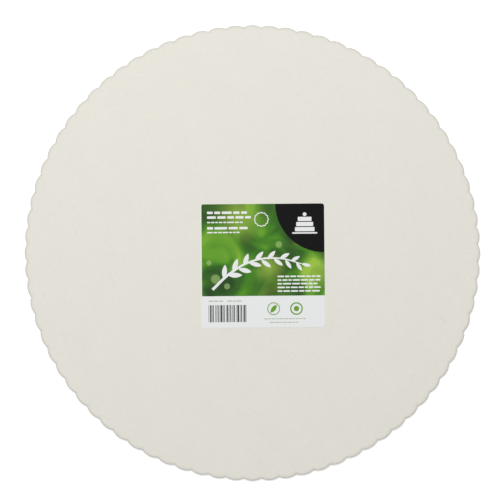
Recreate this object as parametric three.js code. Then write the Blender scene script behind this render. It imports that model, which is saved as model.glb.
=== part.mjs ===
// A round cake board with a scalloped rim, die-cut from one sheet of wood-pulp board,
// with a square printed label stuck to its upper face.
// Millimetres, +Z up. The origin is the centre of the board's underside, and +Y points
// to the head of the label.

import * as THREE from "three";

// Board
const boardDiameter = 280; // across the tips of the scallops
const boardThickness = 1.2;
const scallopCount = 80;
const scallopDepth = 1.4; // from a tip in to the notches beside it
const scallopSteps = 6; // flat facets to each scallop
const cutEdge = 0.15; // the blunt edge that the cutting die leaves

// Label
const labelWidth = 76;
const labelHeight = 76;
const labelThickness = 0.1;
const labelCorner = 1.6; // radius
const labelAcross = 6.4; // from the board's centre to the label's, towards +X
const labelDown = 8; // and towards -Y
const labelTurn = THREE.MathUtils.degToRad(0.5);

// Print: two fields of colour that lie side by side on the label
const inkThickness = 0.03;
const bareStrip = 19.5; // height left white at the foot of the label
const bareMargin = 0.6; // width left white at its left side
const darkFieldRadius = 30; // a quarter disc that fills the upper right corner
const labelArcDivisions = 9; // each makes two facets to an arc

const pulpBoard = finish(0xe3e1d8, 0.92);
const labelPaper = finish(0xe8e9e7, 0.45);
const greenInk = finish(0x4f8a26, 0.4);
const darkInk = finish(0x1c1d1c, 0.4);

function finish(color, roughness) {
  return new THREE.MeshStandardMaterial({ color, roughness, metalness: 0 });
}

function mesh(name, geometry, material) {
  const piece = new THREE.Mesh(geometry, material);
  piece.name = name;
  return piece;
}

// The rim is a ring of equal arcs that bulge outwards and meet in sharp notches.
function scallopedOutline() {
  const tipRadius = boardDiameter / 2;
  const notchRadius = tipRadius - scallopDepth;
  const pitch = (2 * Math.PI) / scallopCount;
  const notchAlong = notchRadius * Math.cos(pitch / 2);
  const notchAcross = notchRadius * Math.sin(pitch / 2);

  // Each arc runs through one tip and the notches on both sides of it.
  const arcCentre =
    (tipRadius ** 2 - notchRadius ** 2) / (2 * (tipRadius - notchAlong));
  const arcRadius = tipRadius - arcCentre;
  const arcSweep = 2 * Math.atan2(notchAcross, notchAlong - arcCentre);

  const points = [];
  for (let scallop = 0; scallop < scallopCount; scallop++) {
    const towardsTip = scallop * pitch;
    const centre = new THREE.Vector2(arcCentre, 0).rotateAround(
      new THREE.Vector2(),
      towardsTip,
    );
    for (let step = 0; step < scallopSteps; step++) {
      const angle = towardsTip + arcSweep * (step / scallopSteps - 0.5);
      points.push(
        new THREE.Vector2(
          centre.x + arcRadius * Math.cos(angle),
          centre.y + arcRadius * Math.sin(angle),
        ),
      );
    }
  }
  return new THREE.Shape(points);
}

function board() {
  const geometry = new THREE.ExtrudeGeometry(scallopedOutline(), {
    depth: boardThickness - 2 * cutEdge,
    bevelThickness: cutEdge,
    bevelSize: cutEdge,
    bevelOffset: -cutEdge,
    bevelSegments: 1,
  });
  geometry.translate(0, 0, cutEdge);
  return mesh("board", geometry, pulpBoard);
}

function flatPiece(name, shape, thickness, material) {
  const geometry = new THREE.ExtrudeGeometry(shape, {
    depth: thickness,
    bevelEnabled: false,
    curveSegments: labelArcDivisions,
  });
  return mesh(name, geometry, material);
}

// The label's own frame has its origin at the middle of its underside. Each shape goes
// round counter-clockwise, and straight edges join the arcs and points that it names.
const labelRight = labelWidth / 2;
const labelLeft = -labelRight;
const labelTop = labelHeight / 2;
const labelBottom = -labelTop;

function paperShape() {
  const right = labelRight - labelCorner;
  const top = labelTop - labelCorner;
  return new THREE.Shape()
    .absarc(-right, -top, labelCorner, Math.PI, 1.5 * Math.PI)
    .absarc(right, -top, labelCorner, 1.5 * Math.PI, 2 * Math.PI)
    .absarc(right, top, labelCorner, 0, 0.5 * Math.PI)
    .absarc(-right, top, labelCorner, 0.5 * Math.PI, Math.PI);
}

// The green field fills the label above the bare strip, apart from the dark corner.
function greenFieldShape() {
  const left = labelLeft + bareMargin;
  const bottom = labelBottom + bareStrip;
  const corner = labelCorner - bareMargin;
  return new THREE.Shape()
    .moveTo(left, bottom)
    .lineTo(labelRight, bottom)
    .absarc(labelRight, labelTop, darkFieldRadius, 1.5 * Math.PI, Math.PI, true)
    .absarc(left + corner, labelTop - corner, corner, 0.5 * Math.PI, Math.PI);
}

function darkFieldShape() {
  return new THREE.Shape()
    .absarc(labelRight, labelTop, darkFieldRadius, Math.PI, 1.5 * Math.PI)
    .absarc(
      labelRight - labelCorner,
      labelTop - labelCorner,
      labelCorner,
      0,
      0.5 * Math.PI,
    );
}

function label() {
  const paper = flatPiece(
    "label_paper",
    paperShape(),
    labelThickness,
    labelPaper,
  );
  const print = new THREE.Group().add(
    flatPiece(
      "label_green_print",
      greenFieldShape(),
      inkThickness,
      greenInk,
    ),
    flatPiece("label_dark_print", darkFieldShape(), inkThickness, darkInk),
  );
  print.position.z = labelThickness;

  const pieces = new THREE.Group().add(paper, print);
  pieces.position.set(labelAcross, -labelDown, boardThickness);
  pieces.rotation.z = labelTurn;
  return pieces;
}

const cakeBoard = new THREE.Group().add(board(), label());

export default cakeBoard;
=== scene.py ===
# %% [markdown]
# A scalloped cake board with a paper label
#
# A cake board is a stiff disc of pressed wood pulp that carries a cake from the baker's bench
# to the table. It is cut from a sheet by a steel die, whose wavy blade leaves the scalloped rim.
# This one has a square paper label stuck to the face that carries the cake. The lesson builds
# both at their real size, in metres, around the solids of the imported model. Those solids are
# the frame: they give every size and place, and they are never moved.

# %% Load the frame
import math

import bpy
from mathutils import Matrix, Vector


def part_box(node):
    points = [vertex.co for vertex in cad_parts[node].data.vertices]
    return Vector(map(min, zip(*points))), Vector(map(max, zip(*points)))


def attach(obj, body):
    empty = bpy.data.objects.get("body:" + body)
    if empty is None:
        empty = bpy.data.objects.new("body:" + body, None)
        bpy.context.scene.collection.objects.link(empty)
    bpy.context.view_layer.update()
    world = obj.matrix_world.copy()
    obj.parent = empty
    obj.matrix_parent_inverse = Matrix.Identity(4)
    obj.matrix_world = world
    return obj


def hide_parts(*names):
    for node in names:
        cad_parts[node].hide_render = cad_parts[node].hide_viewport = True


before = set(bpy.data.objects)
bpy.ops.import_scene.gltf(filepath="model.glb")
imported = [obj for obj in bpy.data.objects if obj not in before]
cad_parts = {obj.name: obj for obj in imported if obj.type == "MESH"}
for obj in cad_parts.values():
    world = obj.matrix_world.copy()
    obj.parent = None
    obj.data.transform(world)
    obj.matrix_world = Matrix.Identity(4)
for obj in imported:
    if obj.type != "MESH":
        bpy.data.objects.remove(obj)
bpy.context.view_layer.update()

print("Solids in the frame:", sorted(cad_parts))

# %% [markdown]
# The sizes come first, so that every later cell can use them. The board and the label are
# measured on the frame's solids. What the solids don't say, such as how many scallops the die
# has, is named here once.

# %% Sizes
MM = 0.001

board_low, board_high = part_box("board")
BOARD_RADIUS = (board_high.x - board_low.x) / 2
BOARD_TOP = board_high.z
SCALLOPS = 80
SCALLOP_DEPTH = 1.4 * MM

paper_low, paper_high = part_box("label_paper")
LABEL_CENTRE = (paper_low + paper_high) / 2
LABEL_TURN = math.radians(0.5)
PAPER_TOP = paper_high.z
PRINT_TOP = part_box("label_green_print")[1].z
print(f"Board {2 * BOARD_RADIUS / MM:.1f} mm across and {BOARD_TOP / MM:.2f} mm thick")

# %% [markdown]
# The picture is taken from straight above, so the camera hangs over the board and looks down.
# With a long lens it stands well back, as a photographer's does, and looks down steeply even at
# the rim. One pixel covers 0.6145 mm of the face, and the disc sits a little off the middle.

# %% Camera
PICTURE_SIDE = 500  # pixels
MM_PER_PIXEL = 0.6145
DISC_CENTRE_PIXEL = (252.3, 252.7)
LENS = 100  # millimetres, on a sensor 36 mm wide

camera_data = bpy.data.cameras.new("camera")
camera_data.lens = LENS
camera_data.sensor_width = 36
camera = bpy.data.objects.new("camera", camera_data)
bpy.context.scene.collection.objects.link(camera)

picture_width = PICTURE_SIDE * MM_PER_PIXEL * MM
camera_height = picture_width * LENS / camera_data.sensor_width
shift_x = (PICTURE_SIDE / 2 - DISC_CENTRE_PIXEL[0]) * MM_PER_PIXEL * MM
shift_y = (DISC_CENTRE_PIXEL[1] - PICTURE_SIDE / 2) * MM_PER_PIXEL * MM
camera.location = (shift_x, shift_y, BOARD_TOP + camera_height)
bpy.context.scene.camera = camera
bpy.context.scene.view_settings.view_transform = "Standard"
print(f"Camera {camera.location.z:.3f} m above the floor")

# %% [markdown]
# A pale board on a white floor needs soft light. A large lamp beyond the head of the board, a
# little to its left, makes the far side slightly brighter than the near side. The world fills
# in the rest evenly. Together they come to about 1, so a colour renders about as it is written.

# %% Light
KEY_PLACE = Vector((-0.35, 0.95, 1.25))
KEY_SIZE = 0.9
KEY_POWER = 15.8
KEY_COLOUR = (1.0, 0.995, 0.985)
WORLD_COLOUR = (0.985, 1.0, 1.0)
WORLD_STRENGTH = 0.57

key_data = bpy.data.lights.new("key_light", "AREA")
key_data.shape = "SQUARE"
key_data.size = KEY_SIZE
key_data.energy = KEY_POWER
key_data.color = KEY_COLOUR
key_light = bpy.data.objects.new("key_light", key_data)
key_light.location = KEY_PLACE
key_light.rotation_mode = "QUATERNION"
key_light.rotation_quaternion = (-KEY_PLACE).to_track_quat("-Z", "Y")
bpy.context.scene.collection.objects.link(key_light)
print("Key light", [round(part, 2) for part in KEY_PLACE])

# %% [markdown]
# Materials and the world are made of nodes. A few small helpers keep the cells below short. The
# first adds a node with its settings and its inputs, where an input is a plain value or another
# node's output. The others build on it: arithmetic, a soft step, a blend of two colours, and
# the place of the point that is being shaded. The last turns a picture's colour values into
# those that a shader takes.

# %% Helpers for nodes
def add_node(tree, kind, inputs, **settings):
    """Adds a shader node. An input's value is a plain value, or an output socket to link."""
    made = tree.nodes.new("ShaderNode" + kind)
    for setting, value in settings.items():
        setattr(made, setting, value)
    for socket, value in inputs.items():
        if isinstance(value, bpy.types.NodeSocket):
            tree.links.new(value, made.inputs[socket])
        else:
            made.inputs[socket].default_value = value
    return made


def calculate(tree, operation, *values):
    """The result of arithmetic on numbers and outputs of other nodes."""
    inputs = dict(enumerate(values))
    return add_node(tree, "Math", inputs, operation=operation).outputs[0]


def fade(tree, value, start, end):
    """1 where the value is at start or before it, 0 at end and after it, and smooth between."""
    inputs = {"Value": value, "From Min": start, "From Max": end, "To Min": 1.0, "To Max": 0.0}
    ramp = add_node(tree, "MapRange", inputs, interpolation_type="SMOOTHSTEP")
    return ramp.outputs[0]


def blend_colours(tree, share, first, second):
    """The first colour where share is 0, and the second where it is 1."""
    mixer = add_node(tree, "Mix", {0: share, 6: first, 7: second}, data_type="RGBA")
    return mixer.outputs[2]


def object_point(tree):
    """Where the surface is, in metres, in the piece's own frame."""
    return add_node(tree, "TexCoord", {}).outputs["Object"]


def srgb(red, green, blue):
    """A colour as a picture shows it, from 0 to 255, as the linear values that a shader takes."""
    shares = (red / 255, green / 255, blue / 255)
    linear = [((s + 0.055) / 1.055) ** 2.4 if s > 0.04045 else s / 12.92 for s in shares]
    return (*linear, 1.0)


print("A mid grey is", [round(part, 3) for part in srgb(128, 128, 128)])

# %% [markdown]
# The world is plain white to the eye and in reflections, and a little dimmer as a light, so
# that the background is clean but the board isn't overlit. Light Path tells the two apart.

# %% World
def seen_directly(tree):
    """1 for what the eye, a reflection or a view through glass meets, and 0 for what light does."""
    path = add_node(tree, "LightPath", {})
    seen = calculate(
        tree, "MAXIMUM", path.outputs["Is Camera Ray"], path.outputs["Is Glossy Ray"]
    )
    return calculate(tree, "MAXIMUM", seen, path.outputs["Is Transmission Ray"])


world = bpy.data.worlds.new("studio")
world.use_nodes = True
sky = world.node_tree
sky.nodes.clear()
lighting = add_node(
    sky, "Background", {"Color": (*WORLD_COLOUR, 1.0), "Strength": WORLD_STRENGTH}
)
backdrop = add_node(sky, "Background", {"Color": (1.0, 1.0, 1.0, 1.0), "Strength": 1.0})
choice = add_node(
    sky,
    "MixShader",
    {0: seen_directly(sky), 1: lighting.outputs[0], 2: backdrop.outputs[0]},
)
add_node(sky, "OutputWorld", {"Surface": choice.outputs[0]})
bpy.context.scene.world = world
print("World strength as a light:", WORLD_STRENGTH)

# %% [markdown]
# The floor is a large pale sheet just under the board. Lighting it until it is white would wash
# out the board, so it gets a little glow that only the eye sees: enough to bring it up to
# white, and weak enough to keep the thin contact shadow round the rim. Further off the lamp's
# light fades, so the glow grows there and keeps the floor white to its end.

# %% Floor
FLOOR_SIDE = 12
FLOOR_DROP = 0.02 * MM
FLOOR_TONE = 0.95
FLOOR_GLOW = 0.2
FAR_GLOW = 0.6
FAR_FROM = 0.35  # metres from the board's centre, where the stronger glow begins
FAR_FULL = 1.5

bpy.ops.object.select_all(action="DESELECT")
bpy.ops.mesh.primitive_plane_add(size=FLOOR_SIDE, location=(0, 0, board_low.z - FLOOR_DROP))
floor = bpy.context.active_object
floor.name = "floor"

floor_finish = bpy.data.materials.new("floor")
floor_finish.use_nodes = True
tree = floor_finish.node_tree
tree.nodes.clear()
matt = add_node(tree, "BsdfDiffuse", {"Color": (FLOOR_TONE, FLOOR_TONE, FLOOR_TONE, 1.0)})
glow = add_node(tree, "Emission", {"Color": (1.0, 1.0, 1.0, 1.0)})
distance = add_node(tree, "VectorMath", {0: object_point(tree)}, operation="LENGTH")
near_board = fade(tree, distance.outputs["Value"], FAR_FROM, FAR_FULL)
strength = calculate(tree, "MULTIPLY_ADD", near_board, FLOOR_GLOW - FAR_GLOW, FAR_GLOW)
tree.links.new(calculate(tree, "MULTIPLY", seen_directly(tree), strength), glow.inputs["Strength"])
both = add_node(tree, "AddShader", {0: matt.outputs[0], 1: glow.outputs[0]})
add_node(tree, "OutputMaterial", {"Surface": both.outputs[0]})
floor.data.materials.append(floor_finish)
print("Floor glow:", FLOOR_GLOW, "near and", FAR_GLOW, "far off")

# %% [markdown]
# Every new piece starts in the same way: nothing is selected, and a small plane is merged into
# a single vertex. Spinning that vertex draws an arc, and spinning the arc without joining it
# lays out copies. The spin operator turns clockwise about its axis, so the axis points down to
# go round the way that angles grow.

# %% Helpers for modelling
DOWN = (0, 0, -1)
WELD = 0.001 * MM  # points closer than this are one point
GENTLE = math.radians(40)  # edges that bend less than this are shaded smooth


def start_with_vertex(name, point):
    """A new piece in edit mode, with a single vertex at the point."""
    bpy.ops.object.select_all(action="DESELECT")
    bpy.ops.mesh.primitive_plane_add(size=MM)
    piece = bpy.context.active_object
    piece.name = piece.data.name = name
    bpy.ops.object.mode_set(mode="EDIT")
    bpy.ops.mesh.merge(type="CENTER")
    bpy.ops.transform.translate(value=point)
    return piece


def draw_arc(centre, angle, steps):
    """Carries the selected vertex round the centre and leaves an arc of edges behind it."""
    bpy.ops.mesh.spin(steps=steps, angle=angle, center=centre, axis=DOWN)


def repeat_round(centre, copies):
    """Copies all that is drawn so far evenly round the centre, and welds the ends."""
    bpy.ops.mesh.select_all(action="SELECT")
    bpy.ops.mesh.spin(steps=copies, angle=math.tau, dupli=True, center=centre, axis=DOWN)
    weld_all()


def weld_all():
    """Merges points that lie on each other, and leaves everything selected."""
    bpy.ops.mesh.select_all(action="SELECT")
    bpy.ops.mesh.remove_doubles(threshold=WELD)
    bpy.ops.mesh.select_all(action="SELECT")


def close_piece(smooth_below=0.0):
    """Turns the faces outwards, leaves edit mode, and shades gentle angles smooth."""
    bpy.ops.mesh.select_all(action="SELECT")
    bpy.ops.mesh.normals_make_consistent(inside=False)
    bpy.ops.object.mode_set(mode="OBJECT")
    if smooth_below:
        bpy.ops.object.shade_smooth_by_angle(angle=smooth_below)
    piece = bpy.context.active_object
    piece.data.calc_loop_triangles()
    print(f"{piece.name}: {len(piece.data.loop_triangles)} triangles")
    return piece


# %% [markdown]
# The scalloped rim is one arc, repeated eighty times. An arc runs from a notch through a tip to
# the next notch, and it bulges more than the disc does, so its centre lies between the disc's
# centre and the rim. A circle through the tip and both notches fixes that centre and radius.
# Drawing one arc and spinning copies of it gives sharp notches, as the die's blade does.

# %% The shape of one scallop
def scallop_arc(tip_radius, depth, count):
    """Where one arc starts, its centre and the angle that it turns through, for a tip on +X."""
    half_pitch = math.pi / count
    notch = tip_radius - depth
    along = notch * math.cos(half_pitch)
    across = notch * math.sin(half_pitch)
    centre = (tip_radius**2 - notch**2) / (2 * (tip_radius - along))
    turn = 2 * math.atan2(across, along - centre)
    return (along, -across, 0), (centre, 0, 0), turn


arc_start, arc_centre, arc_turn = scallop_arc(BOARD_RADIUS, SCALLOP_DEPTH, SCALLOPS)
print(f"A scallop's radius is {(BOARD_RADIUS - arc_centre[0]) / MM:.1f} mm")

# %% [markdown]
# The board could be a plain extrusion of that outline, but a die-cut edge isn't a sharp step.
# The blade presses the upper face down as it enters, so the upper edge is a soft roll, and the
# lower edge is crisper. Between them the cut shows the layers of pulp as faint grooves. The
# edge is drawn as rows from the upper face down to the lower one, each row being the outline
# moved down and scaled in by its distance from the tips.

# %% The profile of the cut edge
ROLL_IN = 0.5 * MM
ROLL_DOWN = 0.22 * MM
ROLL_STEPS = 5
FOOT_ROLL = 0.1 * MM
FOOT_STEPS = 2
LAYERS = 4  # sheets of pulp that were pressed into one board
WALL_TOP = BOARD_TOP - ROLL_DOWN
LAYER_HEIGHT = (WALL_TOP - FOOT_ROLL) / LAYERS
GROOVE_DEPTH = 0.03 * MM
FACE_RINGS = (1.2 * MM, 2.4 * MM, 6 * MM)  # rows on the flat faces, in from the tips


def edge_rows():
    """Pairs of distance in from the tips and height, from the upper face down to the lower."""
    rows = [(ring, BOARD_TOP) for ring in reversed(FACE_RINGS)]
    for step in range(ROLL_STEPS + 1):
        angle = math.pi / 2 * step / ROLL_STEPS
        inset = ROLL_IN * (1 - math.sin(angle))
        rows.append((inset, BOARD_TOP - ROLL_DOWN * (1 - math.cos(angle))))
    for number in range(LAYERS):
        foot = WALL_TOP - LAYER_HEIGHT * (number + 1)
        rows.append((0.0, foot + LAYER_HEIGHT / 2))
        if number < LAYERS - 1:
            rows.append((0.0, foot + GROOVE_DEPTH))
            rows.append((GROOVE_DEPTH, foot))
            rows.append((0.0, foot - GROOVE_DEPTH))
    for step in range(FOOT_STEPS + 1):
        angle = math.pi / 2 * step / FOOT_STEPS
        rows.append((FOOT_ROLL * (1 - math.cos(angle)), FOOT_ROLL * (1 - math.sin(angle))))
    rows += [(ring, 0.0) for ring in FACE_RINGS]
    return rows


print(f"The edge has {len(edge_rows())} rows")

# %% [markdown]
# Now the rows are pulled one after the other. Extruding the ring of edges makes a band of
# faces, and a resize about the board's centre sets the new ring's distance from the tips. Both
# ends are closed by a face that is poked, so its triangles meet in the middle of the disc.

# %% Model the board
STEPS_PER_SCALLOP = 14


def close_face():
    """Fills the selected ring with a fan of triangles."""
    bpy.ops.mesh.edge_face_add()
    bpy.ops.mesh.poke()


def select_height(piece, height, inside):
    """Selects the ring at a height that lies inside a radius, from edit mode."""
    bpy.ops.mesh.select_mode(type="VERT")
    bpy.ops.mesh.select_all(action="DESELECT")
    bpy.ops.object.mode_set(mode="OBJECT")
    for vertex in piece.data.vertices:
        flat = Vector(vertex.co[:2]).length
        vertex.select = abs(vertex.co.z - height) < WELD and flat < inside
    bpy.ops.object.mode_set(mode="EDIT")


rows = edge_rows()
first_inset, first_height = rows[0]
board = start_with_vertex("pulp_board", (arc_start[0], arc_start[1], first_height))
draw_arc(arc_centre, arc_turn, STEPS_PER_SCALLOP)
repeat_round((0, 0, 0), SCALLOPS)
shrink = (BOARD_RADIUS - first_inset) / BOARD_RADIUS
bpy.ops.transform.resize(value=(shrink, shrink, 1), center_override=(0, 0, 0))

inset, height = first_inset, first_height
for next_inset, next_height in rows[1:]:
    drop = {"value": (0, 0, next_height - height)}
    bpy.ops.mesh.extrude_edges_move(TRANSFORM_OT_translate=drop)
    scale = (BOARD_RADIUS - next_inset) / (BOARD_RADIUS - inset)
    bpy.ops.transform.resize(value=(scale, scale, 1), center_override=(0, 0, 0))
    inset, height = next_inset, next_height
close_face()
select_height(board, BOARD_TOP, BOARD_RADIUS - (FACE_RINGS[-1] + FACE_RINGS[-2]) / 2)
close_face()
close_piece(smooth_below=GENTLE)

# %% [markdown]
# Pulp doesn't cut like metal. Short fibres are torn at the edge and leave it slightly rough.
# A Displace modifier with a cloudy texture moves the cut edge inwards by a few hundredths of a
# millimetre. It acts on a vertex group, so the flat faces stay flat.

# %% Roughen the cut edge
FUZZ = 0.08 * MM
FUZZ_GRAIN = 0.35 * MM

edge_group = board.vertex_groups.new(name="cut_edge")
edge_points = [
    vertex.index
    for vertex in board.data.vertices
    if FOOT_ROLL / 2 < vertex.co.z < BOARD_TOP - ROLL_DOWN / 2
]
edge_group.add(edge_points, 1.0, "REPLACE")

fuzz_pattern = bpy.data.textures.new("torn_fibres", "CLOUDS")
fuzz_pattern.noise_scale = FUZZ_GRAIN
fuzz = board.modifiers.new("fuzz", "DISPLACE")
fuzz.texture = fuzz_pattern
fuzz.texture_coords = "LOCAL"
fuzz.vertex_group = edge_group.name
fuzz.strength = FUZZ
fuzz.mid_level = 1.0
bpy.context.view_layer.objects.active = board
bpy.ops.object.modifier_apply(modifier=fuzz.name)
print("Roughened points:", len(edge_points))

# %% [markdown]
# The rim gets handled and pressed, so its tone changes in a narrow band that follows every
# scallop. That darker band is partly this pressed edge and partly painted shade: the thin
# shadow line round the rim. An attribute on the mesh carries that band: 1 at the rim, falling
# to 0 further in. The distance to the outline is worked out from the same arc as the shape.

# %% Mark how near the rim each point is
RIM_BAND = 1.8 * MM


def outline_radius(angle):
    """How far the scalloped outline is from the board's centre, in a direction."""
    pitch = math.tau / SCALLOPS
    from_tip = (angle + pitch / 2) % pitch - pitch / 2
    reach = arc_centre[0]
    arc_radius = BOARD_RADIUS - reach
    side = reach * math.sin(from_tip)
    return reach * math.cos(from_tip) + math.sqrt(arc_radius**2 - side**2)


rim_band = board.data.attributes.new("rim_band", "FLOAT", "POINT")
for vertex in board.data.vertices:
    flat = Vector(vertex.co[:2])
    margin = outline_radius(math.atan2(flat.y, flat.x)) - flat.length
    rim_band.data[vertex.index].value = max(0.0, 1.0 - max(margin, 0.0) / RIM_BAND)
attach(board, "root")
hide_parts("board")
print("Points that carry the rim band:", len(rim_band.data))

# %% [markdown]
# Three effects make pulp look like pulp, and other materials can use them too, so each is a node
# group: it is built once, and placed in each material with values of its own. A helper makes
# the empty group, with its named inputs and outputs.

# %% A helper for node groups
MIDDLE = 0.5  # the value that a noise varies around


def new_group(name, inputs, outputs):
    """An empty shader node group, with its input and output nodes."""
    group = bpy.data.node_groups.new(name, "ShaderNodeTree")
    for label, kind, default in inputs:
        socket = group.interface.new_socket(name=label, in_out="INPUT", socket_type=kind)
        if default is not None:
            socket.default_value = default
    for label, kind in outputs:
        group.interface.new_socket(name=label, in_out="OUTPUT", socket_type=kind)
    entry = group.nodes.new("NodeGroupInput")
    leaving = group.nodes.new("NodeGroupOutput")
    return group, entry.outputs, leaving.inputs


print("Noises vary around", MIDDLE)

# %% [markdown]
# The first effect is fibres. Where a smooth noise crosses its middle value it does so along thin
# wandering lines, and those lines look like loose fibres in felted board. A second noise hides
# parts of the lines, so that they start and stop.

# %% Node group: fibres
HIDDEN, SHOWN = 0.46, 0.56  # the second noise hides the lines, and shows them
BREAKS = 0.8  # scale of the second noise, as a share of the first's

fibre_group, given, result = new_group(
    "fibres",
    [
        ("Point", "NodeSocketVector", None),
        ("Curl", "NodeSocketFloat", 400.0),
        ("Thinness", "NodeSocketFloat", 0.02),
    ],
    [("Mask", "NodeSocketFloat")],
)
wander = add_node(
    fibre_group,
    "TexNoise",
    {"Vector": given["Point"], "Scale": given["Curl"], "Detail": 1.0, "Distortion": 0.6},
)
off_middle = calculate(
    fibre_group,
    "ABSOLUTE",
    calculate(fibre_group, "SUBTRACT", wander.outputs[0], MIDDLE),
)
line = fade(fibre_group, off_middle, 0.0, given["Thinness"])
broken = add_node(
    fibre_group,
    "TexNoise",
    {
        "Vector": given["Point"],
        "Scale": calculate(fibre_group, "MULTIPLY", given["Curl"], BREAKS),
        "Detail": 0.0,
    },
)
shown = fade(fibre_group, broken.outputs[0], SHOWN, HIDDEN)
fibre_group.links.new(calculate(fibre_group, "MULTIPLY", line, shown), result["Mask"])
print("Group made:", fibre_group.name)

# %% [markdown]
# The second effect is the cloudiness of a sheet held against the light, which paper makers call
# formation: pulp settles unevenly on the wire. A noise with a few octaves does it, centred on 0
# so that it can lighten as well as darken.

# %% Node group: cloudiness
cloud_group, given, result = new_group(
    "cloudiness",
    [("Point", "NodeSocketVector", None), ("Scale", "NodeSocketFloat", 60.0)],
    [("Shade", "NodeSocketFloat")],
)
clouds = add_node(
    cloud_group,
    "TexNoise",
    {"Vector": given["Point"], "Scale": given["Scale"], "Detail": 4.0, "Roughness": 0.6},
)
cloud_group.links.new(
    calculate(cloud_group, "SUBTRACT", clouds.outputs[0], MIDDLE), result["Shade"]
)
print("Group made:", cloud_group.name)

# %% [markdown]
# The third effect is the odd speck: a bit of bark, or a clot of bleached pulp. A Voronoi
# texture divides space into cells and gives each a random colour. A cell shows a speck only if
# its red value is under the wanted share. Its green value says whether the speck is dark or
# light, and its blue value how large it is.

# %% Node group: specks
speck_group, given, result = new_group(
    "specks",
    [
        ("Point", "NodeSocketVector", None),
        ("Cells", "NodeSocketFloat", 90.0),
        ("Size", "NodeSocketFloat", 0.04),
        ("Share", "NodeSocketFloat", 0.3),
    ],
    [("Mask", "NodeSocketFloat"), ("Kind", "NodeSocketFloat")],
)
cells = add_node(
    speck_group,
    "TexVoronoi",
    {"Vector": given["Point"], "Scale": given["Cells"]},
    feature="F1",
)
lot = add_node(speck_group, "SeparateColor", {"Color": cells.outputs["Color"]})
speck_size = calculate(speck_group, "MULTIPLY", given["Size"], lot.outputs[2])
speck = fade(speck_group, cells.outputs["Distance"], 0.0, speck_size)
chosen = calculate(speck_group, "LESS_THAN", lot.outputs[0], given["Share"])
speck_group.links.new(calculate(speck_group, "MULTIPLY", speck, chosen), result["Mask"])
speck_group.links.new(lot.outputs[1], result["Kind"])
print("Group made:", speck_group.name)

# %% [markdown]
# A finish is a material: a tree of nodes that ends in a Principled shader. A few helpers serve
# all the finishes below. They place a node group with its own values, place the clouds, which
# every finish uses, shift a colour or a roughness by them, and make an empty material.

# %% Helpers for materials
def use_group(tree, group, inputs):
    """Places a node group in a material with its own values."""
    return add_node(tree, "Group", inputs, node_tree=group)


def cloudiness(tree, point, scale):
    """Clouds around 0, which are smaller where the scale is larger."""
    return use_group(tree, cloud_group, {"Point": point, "Scale": scale}).outputs[0]


def shift_tone(tree, colour, shade, strength):
    """Lightens or darkens a colour by a share that varies around 0."""
    amount = calculate(tree, "MULTIPLY_ADD", shade, strength, 1.0)
    inputs = {0: 1.0, 6: colour, 7: amount}
    return add_node(tree, "Mix", inputs, data_type="RGBA", blend_type="MULTIPLY").outputs[2]


def shift_roughness(tree, shader, shade, middle, spread):
    """Lets a shader's roughness vary around a middle value."""
    uneven = calculate(tree, "MULTIPLY_ADD", shade, spread, middle)
    tree.links.new(uneven, shader.inputs["Roughness"])


def new_material(name, specular):
    """A material with nothing but its Principled shader and its output."""
    material = bpy.data.materials.new(name)
    material.use_nodes = True
    material.node_tree.nodes.clear()
    shader = add_node(material.node_tree, "BsdfPrincipled", {"Specular IOR Level": specular})
    add_node(material.node_tree, "OutputMaterial", {"Surface": shader.outputs[0]})
    return material, material.node_tree, shader


print("Node groups to use:", [group.name for group in bpy.data.node_groups])

# %% [markdown]
# The board's upper face is off-white, and its underside a little greyer. Which side a point is
# on comes from the upward part of the surface's normal. Over that tone lie clouds, felted grain
# and fibres, so faint that they show only close up, and the odd speck of bark or bleached pulp.

# %% The colour of the faces
BOARD_TONE = srgb(226, 223, 214)
UNDER_TONE = srgb(221, 218, 207)
FIBRE_TONE = srgb(216, 213, 204)
BARK_TONE = srgb(176, 164, 140)
CLOT_TONE = srgb(242, 240, 234)
WIDE_CLOUDS = 45.0
FIBRE_STRENGTH = 0.45
CLOT_SHARE = 0.55  # of the specks; the others are bark


def pulp_fibres(tree, point):
    """A mask of many fine fibres and a few long ones."""
    fine = use_group(tree, fibre_group, {"Point": point, "Curl": 520.0, "Thinness": 0.03})
    long = use_group(tree, fibre_group, {"Point": point, "Curl": 170.0, "Thinness": 0.012})
    return calculate(tree, "MAXIMUM", fine.outputs[0], long.outputs[0])


def face_colour(tree, point, upward, fibres, clouds, felt):
    """The colour of both faces, without the pressed band at the rim."""
    underside = fade(tree, upward, start=-0.2, end=0.2)
    face = blend_colours(tree, underside, BOARD_TONE, UNDER_TONE)
    wide_clouds = cloudiness(tree, point, WIDE_CLOUDS)
    for shade, strength in ((wide_clouds, 0.045), (clouds, 0.08), (felt, 0.08)):
        face = shift_tone(tree, face, shade, strength)
    faint_fibres = calculate(tree, "MULTIPLY", fibres, FIBRE_STRENGTH)
    face = blend_colours(tree, faint_fibres, face, FIBRE_TONE)
    specks = use_group(
        tree, speck_group, {"Point": point, "Cells": 70.0, "Size": 0.06, "Share": 0.35}
    )
    is_bark = calculate(tree, "GREATER_THAN", specks.outputs["Kind"], CLOT_SHARE)
    speck_tone = blend_colours(tree, is_bark, CLOT_TONE, BARK_TONE)
    return blend_colours(tree, specks.outputs["Mask"], face, speck_tone)


print("Tone of the upper face:", [round(part, 3) for part in BOARD_TONE[:3]])

# %% [markdown]
# The cut edge is browner than the faces, because it shows the unbleached middle of the sheet.
# A darker line runs in the groove between two layers: a wave over the height, which starts at
# the foot of the wall and is as long as a layer is thick, gives its place. The same brown tints
# the faces in the band along the rim, partly as pressed edge and partly as painted shade for
# the shadow line round the rim.

# %% The colour of the cut edge
CUT_TONE = srgb(175, 171, 161)
LAYER_TONE = srgb(151, 145, 132)
# These two set the darker band at the rim: partly pressed edge, partly painted shade for its shadow
# line.
RIM_PRESS_AND_SHADE_STRENGTH = 0.62
RIM_PRESS_AND_SHADE_FALL = 1.6  # how fast the pressed band fades inwards


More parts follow.
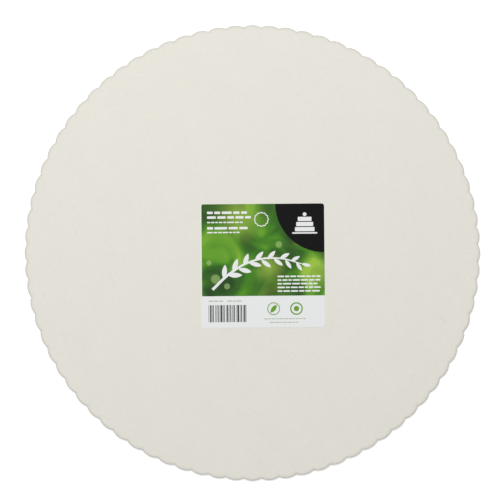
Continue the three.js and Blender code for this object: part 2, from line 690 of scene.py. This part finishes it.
def cut_colour(tree, point, clouds, felt):
    """The brown of the cut edge, with its layers and its torn, uneven tone."""
    height = add_node(tree, "SeparateXYZ", {"Vector": point}).outputs["Z"]
    above_foot = calculate(tree, "SUBTRACT", height, FOOT_ROLL)
    layer_wave = calculate(tree, "PINGPONG", above_foot, LAYER_HEIGHT / 2)
    layer_line = fade(tree, layer_wave, 0.0, LAYER_HEIGHT / 4)
    cut = blend_colours(tree, layer_line, CUT_TONE, LAYER_TONE)
    cut = shift_tone(tree, cut, clouds, strength=0.4)
    return shift_tone(tree, cut, felt, strength=0.7)


def press_and_shade_rim(tree, face):
    """Tints a face towards the cut edge in the rim band: partly pressed, partly painted shade."""
    band = add_node(tree, "Attribute", {}, attribute_name="rim_band").outputs["Fac"]
    rim_darkening = calculate(tree, "POWER", band, RIM_PRESS_AND_SHADE_FALL)
    rim_darkening = calculate(tree, "MULTIPLY", rim_darkening, RIM_PRESS_AND_SHADE_STRENGTH)
    return blend_colours(tree, rim_darkening, face, CUT_TONE)


print(f"A layer of pulp is {LAYER_HEIGHT / MM:.2f} mm thick")

# %% [markdown]
# Felt and fibres stand up a little from the surface, so they drive a bump too. The underside
# also keeps the print of the wire that the pulp drained on, as fine slanting ridges. A Wave
# texture makes them. Along X its diagonal bands come every tau / (10 * scale) metres, and that
# gives the scale from the step between two wires.

# %% The relief of the board
WIRE_STEP = 1.8 * MM  # from one wire to the next, measured along X
FIBRE_RISE = 0.5  # how far a fibre stands up, against the felt


def pulp_bump(tree, point, upward, fibres, felt):
    """The normal of the felted surface, with the wire's print on the underside."""
    relief = calculate(tree, "MULTIPLY_ADD", fibres, FIBRE_RISE, felt)
    wires = add_node(
        tree,
        "TexWave",
        {"Vector": point, "Scale": math.tau / (10 * WIRE_STEP), "Distortion": 0.4},
        bands_direction="DIAGONAL",
    )
    underside = fade(tree, upward, start=-0.9, end=-0.5)
    wire_print = calculate(tree, "MULTIPLY", wires.outputs["Fac"], underside)
    relief = calculate(tree, "ADD", relief, wire_print)
    bump = add_node(tree, "Bump", {"Strength": 0.35, "Distance": 0.05 * MM, "Height": relief})
    return bump.outputs[0]


print(f"Wires cross X every {WIRE_STEP / MM:.1f} mm")

# %% [markdown]
# Now the board's material puts these together. The face's colour goes over to that of the cut
# edge where the surface turns steep. On the roll at the upper edge this darker tone is also
# painted shade, for the shadow line round the rim. Pulp is matt, and a little less so where it
# is denser, so the clouds vary its roughness.

# %% Material: pulp board
SMALL_CLOUDS = 420.0
FELT_GRAIN = 1900.0
STEEP, LEVEL = 0.35, 0.93  # upward parts of the normal: all cut edge, and all face


def pulp_material():
    """Felted wood-pulp board, with its faces and its cut edge."""
    material, tree, shader = new_material("felted_pulp", specular=0.25)
    point = object_point(tree)
    normal = add_node(tree, "NewGeometry", {}).outputs["Normal"]
    upward = add_node(tree, "SeparateXYZ", {"Vector": normal}).outputs["Z"]
    fibres = pulp_fibres(tree, point)
    clouds = cloudiness(tree, point, SMALL_CLOUDS)
    felt = cloudiness(tree, point, FELT_GRAIN)

    # The rim band darkens the face here: partly pressed edge, partly painted shade for the rim's
    # shadow line.
    face = press_and_shade_rim(tree, face_colour(tree, point, upward, fibres, clouds, felt))
    cut = cut_colour(tree, point, clouds, felt)
    # On the roll at the rim, this blend towards the cut tone is partly painted shade.
    on_edge = fade(tree, calculate(tree, "ABSOLUTE", upward), STEEP, LEVEL)
    tree.links.new(blend_colours(tree, on_edge, face, cut), shader.inputs["Base Color"])
    tree.links.new(pulp_bump(tree, point, upward, fibres, felt), shader.inputs["Normal"])
    shift_roughness(tree, shader, clouds, middle=0.88, spread=0.12)
    return material


board.data.materials.clear()
board.data.materials.append(pulp_material())
print("Board finished in", board.data.materials[0].name)

# %% [markdown]
# The label is a square of coated paper. Its solids already have the right shape, a sheet with
# rounded corners and two thin fields of print that lie side by side, so they stay, and only get
# their finishes. Coated paper is white and smooth, with a slight sheen. Its tooth is so fine
# that only the sheen gives it away.

# %% Material: coated paper
PAPER_TONE = srgb(229, 230, 230)


def paper_material():
    """Bright coated paper, smooth but not quite even."""
    material, tree, shader = new_material("coated_paper", specular=0.3)
    point = object_point(tree)
    tooth = cloudiness(tree, point, scale=1500.0)
    waves = cloudiness(tree, point, scale=60.0)
    tone = shift_tone(tree, PAPER_TONE, waves, strength=0.02)
    tree.links.new(tone, shader.inputs["Base Color"])
    shift_roughness(tree, shader, tooth, middle=0.42, spread=0.15)
    bump = add_node(tree, "Bump", {"Strength": 0.1, "Distance": 0.02 * MM, "Height": tooth})
    tree.links.new(bump.outputs[0], shader.inputs["Normal"])
    return material


def finish_node(node, material):
    """Gives a solid of the frame a new finish and leaves its shape alone."""
    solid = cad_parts[node]
    solid.data.materials.clear()
    solid.data.materials.append(material)


coated_paper = paper_material()
finish_node("label_paper", coated_paper)
print("Paper finished in", coated_paper.name)

# %% [markdown]
# Patterns on the label are placed in the label's own directions, so a group turns and moves a
# point on the board into a point on the label, with its zero at the label's centre.

# %% Node group: label point
label_group, given, result = new_group(
    "label_point",
    [("Point", "NodeSocketVector", None)],
    [("Point", "NodeSocketVector")],
)
turned = add_node(
    label_group,
    "Mapping",
    {
        "Vector": given["Point"],
        "Location": (LABEL_CENTRE.x, LABEL_CENTRE.y, 0.0),
        "Rotation": (0.0, 0.0, LABEL_TURN),
    },
    vector_type="TEXTURE",
)
label_group.links.new(turned.outputs[0], result["Point"])
print("Group made:", label_group.name)

# %% [markdown]
# Out of focus, anything bright or dark is a soft round patch, so patches are a group as well.
# Each is a disc that fades from an inner to an outer radius. The height of a point doesn't
# count: it is multiplied by zero before the distance is taken.

# %% Node group: light patch
patch_group, given, result = new_group(
    "light_patch",
    [
        ("Point", "NodeSocketVector", None),
        ("Centre", "NodeSocketVector", (0.0, 0.0, 0.0)),
        ("Inner", "NodeSocketFloat", 0.0),
        ("Outer", "NodeSocketFloat", 0.01),
    ],
    [("Mask", "NodeSocketFloat")],
)
level_point = add_node(
    patch_group, "VectorMath", {0: given["Point"], 1: (1.0, 1.0, 0.0)}, operation="MULTIPLY"
)
away = add_node(
    patch_group,
    "VectorMath",
    {0: level_point.outputs[0], 1: given["Centre"]},
    operation="DISTANCE",
)
patch_group.links.new(
    fade(patch_group, away.outputs["Value"], given["Inner"], given["Outer"]), result["Mask"]
)
print("Group made:", patch_group.name)

# %% [markdown]
# The green field is printed with leaves that are far out of focus. Sun comes through in places,
# others lie in shade, and a few small drops glint. Their places are given in lists, and one
# function lays a whole list of them over a colour.

# %% Sun, shade and glints
SUN_TONE = srgb(160, 192, 74)
SHADE_TONE = srgb(44, 62, 28)
GLINT_TONE = srgb(176, 206, 128)
SUN_PATCHES = (((-14, 30), 20), ((33, -4), 15), ((4, -2), 12))  # places and radii, millimetres
SHADE_PATCHES = (((-36, 36), 20), ((6, -16), 17), ((18, 14), 9))
GLINTS = (((-29, -8), 3.4), ((-22, -12.5), 2.2), ((29, -12), 3.0), ((-33, 2), 1.9), ((10, 13), 2.4))


def lay_patches(tree, colour, point, places, tone, strength, softness=1.0):
    """Lays soft round patches of one tone over a colour. A softness of 1 has no flat middle."""
    for (across, up), radius in places:
        inputs = {
            "Point": point,
            "Centre": (across * MM, up * MM, 0.0),
            "Inner": radius * (1 - softness) * MM,
            "Outer": radius * MM,
        }
        patch = use_group(tree, patch_group, inputs)
        share = calculate(tree, "MULTIPLY", patch.outputs[0], strength)
        colour = blend_colours(tree, share, colour, tone)
    return colour


print("Patches of light and shade:", len(SUN_PATCHES + SHADE_PATCHES + GLINTS))

# %% [markdown]
# Under the patches lies the foliage itself: dark hollows, fresh green between them, and
# yellow-green where it is thin. Nothing in it has an edge, so it is a slow noise that picks its
# colours from a ramp. The ink's even gloss is a helper, because the other inks need it too.

# %% Material: green print
FOLIAGE = (
    (0.30, srgb(33, 66, 22)),
    (0.43, srgb(46, 92, 24)),
    (0.52, srgb(62, 122, 26)),
    (0.62, srgb(96, 152, 38)),
    (0.74, srgb(146, 184, 62)),
)


def print_sheen(tree, shader):
    """The thin even gloss of ink on coated paper, with a trace of the press in it."""
    grain = cloudiness(tree, object_point(tree), scale=1200.0)
    shift_roughness(tree, shader, grain, middle=0.38, spread=0.12)


def green_material():
    """Soft foliage in printed ink."""
    material, tree, shader = new_material("green_print", specular=0.2)
    point = use_group(tree, label_group, {"Point": object_point(tree)}).outputs[0]
    leaves = add_node(
        tree, "TexNoise", {"Vector": point, "Scale": 55.0, "Detail": 1.5, "Distortion": 0.7}
    )
    ramp = add_node(tree, "ValToRGB", {"Fac": leaves.outputs[0]})
    ramp.color_ramp.interpolation = "EASE"
    stops = ramp.color_ramp.elements
    stops[0].position, stops[0].color = FOLIAGE[0]
    stops[1].position, stops[1].color = FOLIAGE[-1]
    for place, tone in FOLIAGE[1:-1]:
        stops.new(place).color = tone
    colour = lay_patches(tree, ramp.outputs[0], point, SUN_PATCHES, SUN_TONE, strength=0.6)
    colour = lay_patches(tree, colour, point, SHADE_PATCHES, SHADE_TONE, strength=0.75)
    colour = lay_patches(tree, colour, point, GLINTS, GLINT_TONE, strength=0.4, softness=0.35)
    tree.links.new(colour, shader.inputs["Base Color"])
    print_sheen(tree, shader)
    return material


finish_node("label_green_print", green_material())
print("Foliage colours:", len(FOLIAGE))

# %% [markdown]
# The dark corner and the fine marks are plain inks. A black ink isn't quite black and shows a
# faint unevenness where the press laid it thinner.

# %% Materials: dark ink and leaf-green ink
DARK_TONE = srgb(14, 14, 14)
BAR_TONE = srgb(72, 74, 74)
GREEN_TONE = srgb(104, 156, 52)
GREY_TONE = srgb(176, 186, 168)


def ink_material(name, tone):
    """One flat ink, laid down a little unevenly."""
    material, tree, shader = new_material(name, specular=0.08)
    lay = cloudiness(tree, object_point(tree), scale=180.0)
    tree.links.new(shift_tone(tree, tone, lay, strength=0.2), shader.inputs["Base Color"])
    print_sheen(tree, shader)
    return material


finish_node("label_dark_print", ink_material("black_ink", DARK_TONE))
bar_ink = ink_material("bar_ink", BAR_TONE)
green_ink = ink_material("leaf_green_ink", GREEN_TONE)
grey_ink = ink_material("pale_grey_ink", GREY_TONE)
print("Inks:", bar_ink.name, green_ink.name, grey_ink.name)

# %% [markdown]
# The marks on the label are flat shapes with crisp edges. Each is drawn level at zero, thickened
# by a hundredth of a millimetre, and then set on the label: turned with it, moved to its centre
# and raised to the surface that it is printed on. The turn and the move are applied, so that
# the mark's place is in its mesh.

# %% Helpers for marks on the label
MARK_THICKNESS = 0.012 * MM


def thicken():
    """Raises all the flat faces into thin closed solids."""
    bpy.ops.mesh.select_all(action="SELECT")
    rise = {"value": (0, 0, MARK_THICKNESS)}
    bpy.ops.mesh.extrude_region_move(TRANSFORM_OT_translate=rise)


def set_on_label(piece, surface, material):
    """Puts a finished mark in its place on the label, with its finish and its body."""
    piece.rotation_euler.z = LABEL_TURN
    piece.location = (LABEL_CENTRE.x, LABEL_CENTRE.y, surface)
    bpy.ops.object.transform_apply(location=True, rotation=True, scale=True)
    piece.data.materials.clear()
    piece.data.materials.append(material)
    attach(piece, "root")


print(f"Marks are {MARK_THICKNESS / MM:.3f} mm thick")

# %% [markdown]
# The main mark is a sprig, as a brush would draw it: a bent stem with leaves on both sides,
# left white. The stem is a curve whose thickness follows its points. It could stay a round tube,
# but a flat print needs a flat shape, so it is made a mesh and squeezed to the thickness of the
# other marks.

# %% The sprig's stem
STEM = (  # across and up in millimetres, and the stroke's half width
    ((-31.0, -14.5), 0.85),
    ((-20.0, -4.5), 0.75),
    ((-6.0, 3.0), 0.62),
    ((10.0, 4.5), 0.48),
    ((24.0, 1.0), 0.30),
)


def draw_stem(name):
    """A smooth curve through the stem's points, as a flat mesh."""
    bpy.ops.object.select_all(action="DESELECT")
    bpy.ops.curve.primitive_bezier_curve_add()
    piece = bpy.context.active_object
    piece.name = piece.data.name = name
    piece.data.bevel_depth = MM
    piece.data.bevel_resolution = 3
    piece.data.use_fill_caps = True
    piece.data.resolution_u = 16
    bends = piece.data.splines[0].bezier_points
    bends.add(len(STEM) - len(bends))
    for bend, ((across, up), half_width) in zip(bends, STEM):
        bend.co = (across * MM, up * MM, 0)
        bend.radius = half_width
        bend.handle_left_type = bend.handle_right_type = "AUTO"
    bpy.ops.object.convert(target="MESH")
    bpy.ops.object.mode_set(mode="EDIT")
    bpy.ops.mesh.select_all(action="SELECT")
    flat = MARK_THICKNESS / (2 * STEM[0][1] * MM)
    bpy.ops.transform.resize(value=(1, 1, flat), center_override=(0, 0, 0))
    bpy.ops.transform.translate(value=(0, 0, MARK_THICKNESS / 2))
    return close_piece(smooth_below=GENTLE)


stem = draw_stem("sprig_stem")
set_on_label(stem, PRINT_TOP, coated_paper)

# %% [markdown]
# A leaf is the space between two arcs that meet in points. One arc is a vertex spun about a
# centre below the leaf, and the other is spun back about a centre above it. The leaf is drawn
# once at full size, along +X. Every leaf on the sprig is a copy with its own mesh, scaled down
# towards the stem's end, turned to its own angle and moved to its place beside the stem.

# %% One leaf
LEAF_LENGTH = 9.5 * MM
LEAF_WIDTH = 3.3 * MM
LEAF_STEPS = 12


def draw_leaf(name, length, width):
    """A flat pointed leaf along +X, with its stalk end at zero."""
    radius = (length**2 + width**2) / (4 * width)
    turn = 2 * math.asin(length / 2 / radius)
    leaf = start_with_vertex(name, (length, 0, 0))
    draw_arc((length / 2, width / 2 - radius, 0), turn, LEAF_STEPS)
    draw_arc((length / 2, radius - width / 2, 0), turn, LEAF_STEPS)
    weld_all()
    bpy.ops.mesh.edge_face_add()
    thicken()
    close_piece()
    return leaf


leaf = draw_leaf("sprig_leaf", LEAF_LENGTH, LEAF_WIDTH)

# %% [markdown]
# Leaves grow from the stem in turn, left and right, each leaning forward. To place them, the
# stem's direction is needed at each leaf, and a straight line between two of its points is near
# enough for so gentle a bend.

# %% Leaves along the stem
LEAF_PAIRS = 7
LEAF_LEAN = math.radians(42)
LAST_LEAF_SIZE = 0.62
LEAF_START = 0.16  # share of the stem that is bare


def along_stem(share):
    """A point on the stem and the stem's direction there. A share of 0 is its foot."""
    place = min(share, 0.999) * (len(STEM) - 1)  # short of the end, so a next point exists
    number = int(place)
    (x0, y0), _ = STEM[number]
    (x1, y1), _ = STEM[number + 1]
    part = place - number
    middle = Vector((x0 + (x1 - x0) * part, y0 + (y1 - y0) * part, 0)) * MM
    return middle, math.atan2(y1 - y0, x1 - x0)


def place_leaf(number):
    """One copy of the leaf, on the left of the stem if its number is even."""
    share = LEAF_START + (1 - LEAF_START) * number / (2 * LEAF_PAIRS)
    foot, heading = along_stem(share)
    side = 1 if number % 2 == 0 else -1
    size = 1 + (LAST_LEAF_SIZE - 1) * share
    copied = leaf.copy()
    copied.data = leaf.data.copy()
    bpy.context.scene.collection.objects.link(copied)
    copied.location = foot
    copied.rotation_euler.z = heading + side * LEAF_LEAN
    copied.scale = (size, size, 1)
    return copied


leaves = [place_leaf(number) for number in range(2 * LEAF_PAIRS)]
tip_leaf = place_leaf(2 * LEAF_PAIRS)
tip_leaf.rotation_euler.z = along_stem(1.0)[1]
bpy.data.objects.remove(leaf)
bpy.ops.object.select_all(action="DESELECT")
for copied in (*leaves, tip_leaf):
    copied.select_set(True)
bpy.context.view_layer.objects.active = tip_leaf
bpy.ops.object.transform_apply(location=True, rotation=True, scale=True)
bpy.ops.object.join()
tip_leaf.name = tip_leaf.data.name = "sprig_leaves"
set_on_label(tip_leaf, PRINT_TOP, coated_paper)
print("Leaves on the sprig:", len(leaves) + 1)

# %% [markdown]
# The rest of the marks are mostly bars: dashes, the layers of a cake, and the strip's block of
# bars. A bar is a plane that is sized in edit mode, so that all the bars of a mark are one
# piece. Where its corners are round, they are bevelled.

# %% Helpers for bars
CORNER_STEPS = 2


def add_bar(left, foot, width, height, corner=0.0):
    """Adds one flat bar to the piece that is being edited. Sizes are in millimetres."""
    middle = ((left + width / 2) * MM, (foot + height / 2) * MM, 0)
    bpy.ops.mesh.primitive_plane_add(size=1, location=middle)
    bpy.ops.transform.resize(value=(width * MM, height * MM, 1), center_override=middle)
    if corner:
        bpy.ops.mesh.bevel(offset=corner * MM, segments=CORNER_STEPS, affect="VERTICES")


def start_flat(name):
    """A new, empty piece in edit mode."""
    piece = start_with_vertex(name, (0, 0, 0))
    bpy.ops.mesh.delete(type="VERT")
    return piece


print("Steps to a round corner:", CORNER_STEPS)

# %% [markdown]
# Small print would be lines of words. This label has no wording, so each line is a row of plain
# dashes of different lengths, as a designer greeks a text that isn't written yet. A seeded
# random generator picks the lengths, so that the rows are the same every time.

# %% Rows of small print
import random

DASH_LENGTHS = (2.0, 5.5)  # this and the next three are times the dash's height
DASH_GAP = 0.6
DASH_CORNER = 0.3
SHORTEST_REST = 2  # a row ends where less than this is left


def small_print(name, blocks, seed):
    """Rows of dashes. A block is its left side, top, width, rows, dash height and row spacing."""
    lengths = random.Random(seed)
    piece = start_flat(name)
    for left, top, width, rows_down, height, spacing in blocks:
        for row in range(rows_down):
            foot = top - row * spacing - height
            start = left
            while start < left + width - height * SHORTEST_REST:
                dash = min(lengths.uniform(*DASH_LENGTHS) * height, left + width - start)
                add_bar(start, foot, dash, height, corner=height * DASH_CORNER)
                start += dash + height * DASH_GAP
    thicken()
    close_piece()
    return piece


PRINT_BLOCKS = (
    (-34.0, 33.5, 27.0, 2, 1.5, 2.9),
    (-34.0, 27.2, 22.0, 1, 0.8, 1.6),
    (-34.0, 24.0, 25.0, 1, 1.5, 2.9),
    (-34.0, 21.0, 20.0, 1, 0.8, 1.6),
    (9.0, -6.2, 26.5, 5, 0.95, 2.25),
)
rows_of_print = small_print("small_print", PRINT_BLOCKS, seed=28)
set_on_label(rows_of_print, PRINT_TOP, coated_paper)

# %% [markdown]
# The dark corner carries a small picture that says what the product is for: a plain cake of
# three layers on its board. It is four bars with rounded ends, and a disc for the cherry.

# %% The cake mark
CAKE_CENTRE = (26.0, 25.5)
CAKE_LAYERS = ((12.0, 2.6), (10.4, 2.6), (8.4, 2.6))  # widths and heights from the bottom up
CAKE_GAP = 0.55
CAKE_BOARD = (15.5, 0.9)
CAKE_DROP = 6.0  # from the mark's centre down to its foot
CAKE_CORNER = 0.4
CHERRY_RADIUS = 1.15
CHERRY_RISE = 0.9  # its centre above the top layer's gap, times its radius


def draw_cake(name):
    """A layered cake seen from the side, as bars, with a disc on top."""
    piece = start_flat(name)
    across, foot = CAKE_CENTRE[0], CAKE_CENTRE[1] - CAKE_DROP
    for width, height in (CAKE_BOARD, *CAKE_LAYERS):
        add_bar(across - width / 2, foot, width, height, corner=CAKE_CORNER)
        foot += height + CAKE_GAP
    middle = (across * MM, (foot + CHERRY_RADIUS * CHERRY_RISE) * MM, 0)
    bpy.ops.mesh.primitive_circle_add(
        radius=CHERRY_RADIUS * MM, vertices=24, fill_type="NGON", location=middle
    )
    thicken()
    close_piece()
    return piece


cake = draw_cake("cake_mark")
set_on_label(cake, PRINT_TOP, coated_paper)

# %% [markdown]
# Beside the rows of print stands the board itself, as a thin scalloped ring. It is drawn by the
# same arc function as the real rim, with fewer scallops.

# %% The ring mark
RING_CENTRE = (-0.6, 28.5, 0)
RING_RADIUS = 4.6 * MM
RING_DEPTH = 0.55 * MM
RING_SCALLOPS = 12
RING_STROKE = 0.62 * MM
RING_STEPS = 6  # to each scallop


def draw_scalloped_ring(name, centre, radius, stroke):
    """A thin flat ring with a scalloped outer and inner outline."""
    start, middle, turn = scallop_arc(radius, RING_DEPTH, RING_SCALLOPS)
    piece = start_with_vertex(name, start)
    draw_arc(middle, turn, RING_STEPS)
    repeat_round((0, 0, 0), RING_SCALLOPS)
    bpy.ops.mesh.extrude_edges_move()
    scale = (radius - stroke) / radius
    bpy.ops.transform.resize(value=(scale, scale, 1), center_override=(0, 0, 0))
    thicken()
    bpy.ops.mesh.select_all(action="SELECT")
    bpy.ops.transform.translate(value=tuple(part * MM for part in centre))
    close_piece()
    return piece


ring = draw_scalloped_ring("ring_mark", RING_CENTRE, RING_RADIUS, RING_STROKE)
set_on_label(ring, PRINT_TOP, coated_paper)

# %% [markdown]
# The white strip at the foot has what most labels have, and first of all a block of upright
# bars. Here they run through a rhythm of widths, and the gaps through a shorter one, so the
# block never looks regular, and encodes nothing. Each bar is a plane that is sized in edit
# mode, like the dashes of the small print.

# %% The bars
BARS_LEFT = -33.5
BARS_FOOT = -34.5
BARS_HEIGHT = 10.5
BARS_WIDTH = 24.0
BAR_UNIT = 0.29
BAR_RHYTHM = (1, 3, 1, 2, 1, 1, 2, 1, 4, 1, 2)  # widths in units
GAP_RHYTHM = (2, 1, 1, 3, 1, 2, 1)


def draw_bars(name):
    """Upright bars and gaps, whose two rhythms differ in length and so never fall together."""
    piece = start_flat(name)
    start, number = BARS_LEFT, 0
    while start < BARS_LEFT + BARS_WIDTH:
        width = BAR_RHYTHM[number % len(BAR_RHYTHM)] * BAR_UNIT
        add_bar(start, BARS_FOOT, width, BARS_HEIGHT)
        start += width + GAP_RHYTHM[number % len(GAP_RHYTHM)] * BAR_UNIT
        number += 1
    thicken()
    close_piece()
    print("Bars:", number)
    return piece


bars = draw_bars("strip_bars")
set_on_label(bars, PAPER_TOP, bar_ink)

# %% [markdown]
# Beside the bars stand two small green signs, as for a clean material: a leaf in a ring, and a
# dot in a bolder ring. A ring is a circle of edges, extruded and drawn in. The leaf is drawn by
# the same function as those of the sprig, and turned and moved into its ring.

# %% The green signs
SIGN_LEAF = (6.5, -26.5)
SIGN_RING = (20.5, -26.5)
SIGN_RADIUS = 3.9
SIGN_STROKE = 0.5
BOLD_STROKE = 0.8
DOT_RADIUS = 0.42 * SIGN_RADIUS
SIGN_LEAF_LENGTH = 6.0
SIGN_LEAF_WIDTH = 2.6
SIGN_LEAF_TURN = math.radians(52)


def add_ring(centre, radius, stroke):
    """Adds a flat ring to the piece that is being edited."""
    middle = (centre[0] * MM, centre[1] * MM, 0)
    bpy.ops.mesh.primitive_circle_add(radius=radius * MM, vertices=48, location=middle)
    bpy.ops.mesh.extrude_edges_move()
    scale = (radius - stroke) / radius
    bpy.ops.transform.resize(value=(scale, scale, 1), center_override=middle)


def draw_signs(name):
    """A ring round a dot, and a ring of its own round the leaf that comes next."""
    piece = start_flat(name)
    add_ring(SIGN_RING, SIGN_RADIUS, BOLD_STROKE)
    dot = (SIGN_RING[0] * MM, SIGN_RING[1] * MM, 0)
    bpy.ops.mesh.primitive_circle_add(
        radius=DOT_RADIUS * MM, vertices=32, fill_type="NGON", location=dot
    )
    add_ring(SIGN_LEAF, SIGN_RADIUS, SIGN_STROKE)
    thicken()
    close_piece()
    return piece


signs = draw_signs("green_signs")
set_on_label(signs, PAPER_TOP, green_ink)

sign_leaf = draw_leaf("sign_leaf", SIGN_LEAF_LENGTH * MM, SIGN_LEAF_WIDTH * MM)
sign_leaf.rotation_euler.z = SIGN_LEAF_TURN
half_leaf = Vector((math.cos(SIGN_LEAF_TURN), math.sin(SIGN_LEAF_TURN), 0)) * SIGN_LEAF_LENGTH / 2
sign_leaf.location = (Vector((*SIGN_LEAF, 0)) - half_leaf) * MM
bpy.ops.object.transform_apply(location=True, rotation=True, scale=True)
set_on_label(sign_leaf, PAPER_TOP, green_ink)

# %% [markdown]
# Last come the fine lines of the strip, in a pale grey ink. They are rows of dashes again, far
# smaller than those on the green field, and stand above the bars and below the signs.

# %% The fine lines of the strip
STRIP_BLOCKS = (
    (0.5, -32.4, 26.0, 1, 0.55, 1.0),
    (4.0, -34.6, 19.0, 1, 0.55, 1.0),
    (-33.5, -21.2, 9.0, 1, 0.7, 1.0),
    (-22.0, -21.2, 10.5, 1, 0.7, 1.0),
)
strip_lines = small_print("strip_lines", STRIP_BLOCKS, seed=10)
set_on_label(strip_lines, PAPER_TOP, grey_ink)
